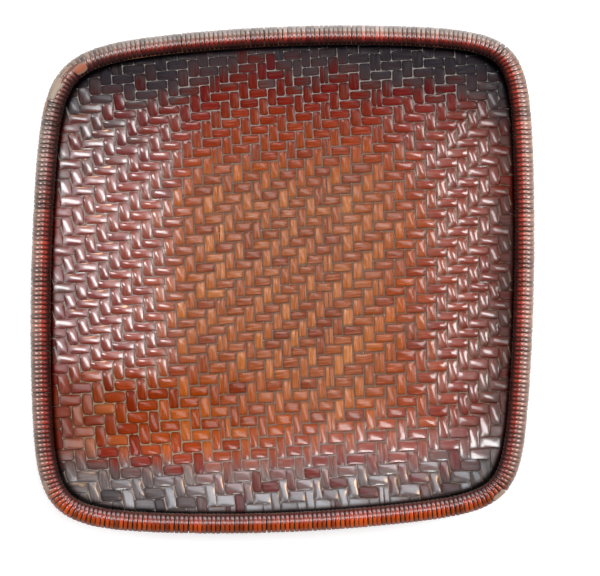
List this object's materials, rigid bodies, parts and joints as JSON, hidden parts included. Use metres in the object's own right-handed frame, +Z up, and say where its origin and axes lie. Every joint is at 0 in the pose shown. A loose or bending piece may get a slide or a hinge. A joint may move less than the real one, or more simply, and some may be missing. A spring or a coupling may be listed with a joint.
{
  "type": "winnowing tray",
  "caption": "Square winnowing tray with round corners: a shallow dish of twill-woven split bamboo held between two hoops in a round rim close-wound with split cane, lacquered red-brown.",
  "frame": {"origin": "Middle of the flat underside that the tray rests on, below the middle of the rim.", "axes": "+Z is up out of the dish, +X is to the right and +Y is the back, the top edge of the picture."},
  "size_m": [0.4204, 0.4226, 0.056],
  "materials": {
    "mat": "split bamboo under worn red-brown lacquer, glossy on the crowns",
    "lashing": "split cane under glossy red-brown lacquer",
    "hoop": "bare split bamboo, satin",
    "filler": "bare round cane, satin"
  },
  "bodies": {
    "root": {"woven_mat": "mat", "outer_hoop": "hoop", "inner_hoop": "hoop", "rim_filler": "filler", "lashing_01": "lashing", "lashing_02": "lashing", "lashing_03": "lashing", "lashing_04": "lashing", "lashing_05": "lashing", "lashing_06": "lashing", "lashing_07": "lashing", "lashing_08": "lashing", "lashing_09": "lashing", "lashing_10": "lashing", "lashing_11": "lashing", "lashing_12": "lashing", "lashing_13": "lashing", "lashing_14": "lashing", "lashing_15": "lashing", "lashing_16": "lashing"}
  },
  "joints": []
}
